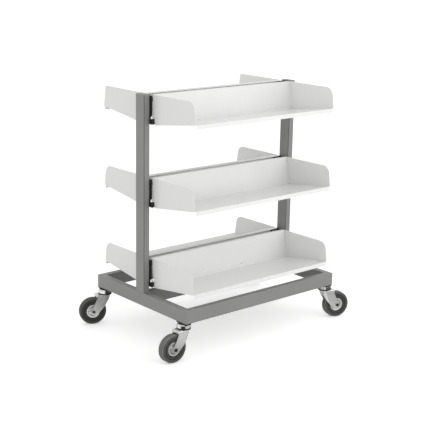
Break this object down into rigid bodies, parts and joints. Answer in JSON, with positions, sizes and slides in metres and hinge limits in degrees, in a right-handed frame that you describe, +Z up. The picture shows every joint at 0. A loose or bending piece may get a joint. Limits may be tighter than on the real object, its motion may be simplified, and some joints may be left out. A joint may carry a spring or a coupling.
{
  "type": "library book trolley",
  "caption": "Double-sided library book trolley: steel tube frame on swivel castors, with sloping sheet trays in tiers facing both sides.",
  "frame": {"origin": "on the floor, under the middle of the base frame", "axes": "+X along the trays, +Y from the front side to the rear side, +Z up"},
  "size_m": [1.1056, 0.6968, 1.106],
  "materials": {
    "frame_paint": "satin",
    "tray_paint": "gloss",
    "bracket_black": "satin",
    "zinc": "satin",
    "tyre_rubber": "matte"
  },
  "bodies": {
    "frame": {"base_front_rail": "frame_paint", "base_rear_rail": "frame_paint", "base_left_rail": "frame_paint", "base_right_rail": "frame_paint", "base_centre_beam": "frame_paint", "left_upright": "frame_paint", "right_upright": "frame_paint", "upright_caps": "frame_paint", "frame_welds": "frame_paint", "castor_mount_bolts": "bracket_black", "top_front_tray_sheet": "tray_paint", "top_front_tray_left_end": "tray_paint", "top_front_tray_right_end": "tray_paint", "top_rear_tray_sheet": "tray_paint", "top_rear_tray_left_end": "tray_paint", "top_rear_tray_right_end": "tray_paint", "middle_front_tray_sheet": "tray_paint", "middle_front_tray_left_end": "tray_paint", "middle_front_tray_right_end": "tray_paint", "middle_rear_tray_sheet": "tray_paint", "middle_rear_tray_left_end": "tray_paint", "middle_rear_tray_right_end": "tray_paint", "bottom_front_tray_sheet": "tray_paint", "bottom_front_tray_left_end": "tray_paint", "bottom_front_tray_right_end": "tray_paint", "bottom_rear_tray_sheet": "tray_paint", "bottom_rear_tray_left_end": "tray_paint", "bottom_rear_tray_right_end": "tray_paint", "bottom_tray_brackets": "bracket_black", "middle_tray_brackets": "bracket_black", "top_tray_brackets": "bracket_black", "bottom_tray_fixings": "zinc", "middle_tray_fixings": "zinc", "top_tray_fixings": "zinc", "front_left_castor_plate": "bracket_black", "front_right_castor_plate": "bracket_black", "rear_left_castor_plate": "bracket_black", "rear_right_castor_plate": "bracket_black"},
    "front_left_fork": {"front_left_castor_bearing": "zinc", "front_left_castor_fork": "zinc", "front_left_castor_axle": "zinc"},
    "front_left_wheel": {"front_left_castor_wheel": "zinc", "front_left_castor_tyre": "tyre_rubber"},
    "front_right_fork": {"front_right_castor_bearing": "zinc", "front_right_castor_fork": "zinc", "front_right_castor_axle": "zinc"},
    "front_right_wheel": {"front_right_castor_wheel": "zinc", "front_right_castor_tyre": "tyre_rubber"},
    "rear_left_fork": {"rear_left_castor_bearing": "zinc", "rear_left_castor_fork": "zinc", "rear_left_castor_axle": "zinc"},
    "rear_left_wheel": {"rear_left_castor_wheel": "zinc", "rear_left_castor_tyre": "tyre_rubber"},
    "rear_right_fork": {"rear_right_castor_bearing": "zinc", "rear_right_castor_fork": "zinc", "rear_right_castor_axle": "zinc"},
    "rear_right_wheel": {"rear_right_castor_wheel": "zinc", "rear_right_castor_tyre": "tyre_rubber"}
  },
  "joints": [
    {"name": "front_left_swivel", "type": "hinge", "parent": "frame", "child": "front_left_fork", "pos_m": [-0.43, -0.292, 0.1469], "axis": [0, 0, 1], "continuous": true},
    {"name": "front_left_roll", "type": "hinge", "parent": "front_left_fork", "child": "front_left_wheel", "pos_m": [-0.48996, -0.28991, 0.0625], "axis": [-0.0349, -0.9994, 0], "continuous": true},
    {"name": "front_right_swivel", "type": "hinge", "parent": "frame", "child": "front_right_fork", "pos_m": [0.43, -0.292, 0.1469], "axis": [0, 0, 1], "continuous": true},
    {"name": "front_right_roll", "type": "hinge", "parent": "front_right_fork", "child": "front_right_wheel", "pos_m": [0.48638, -0.31252, 0.0625], "axis": [0.342, 0.9397, 0], "continuous": true},
    {"name": "rear_left_swivel", "type": "hinge", "parent": "frame", "child": "rear_left_fork", "pos_m": [-0.43, 0.292, 0.1469], "axis": [0, 0, 1], "continuous": true},
    {"name": "rear_left_roll", "type": "hinge", "parent": "rear_left_fork", "child": "rear_left_wheel", "pos_m": [-0.48638, 0.31252, 0.0625], "axis": [-0.342, -0.9397, 0], "continuous": true},
    {"name": "rear_right_swivel", "type": "hinge", "parent": "frame", "child": "rear_right_fork", "pos_m": [0.43, 0.292, 0.1469], "axis": [0, 0, 1], "continuous": true},
    {"name": "rear_right_roll", "type": "hinge", "parent": "rear_right_fork", "child": "rear_right_wheel", "pos_m": [0.48996, 0.28991, 0.0625], "axis": [0.0349, 0.9994, 0], "continuous": true}
  ]
}
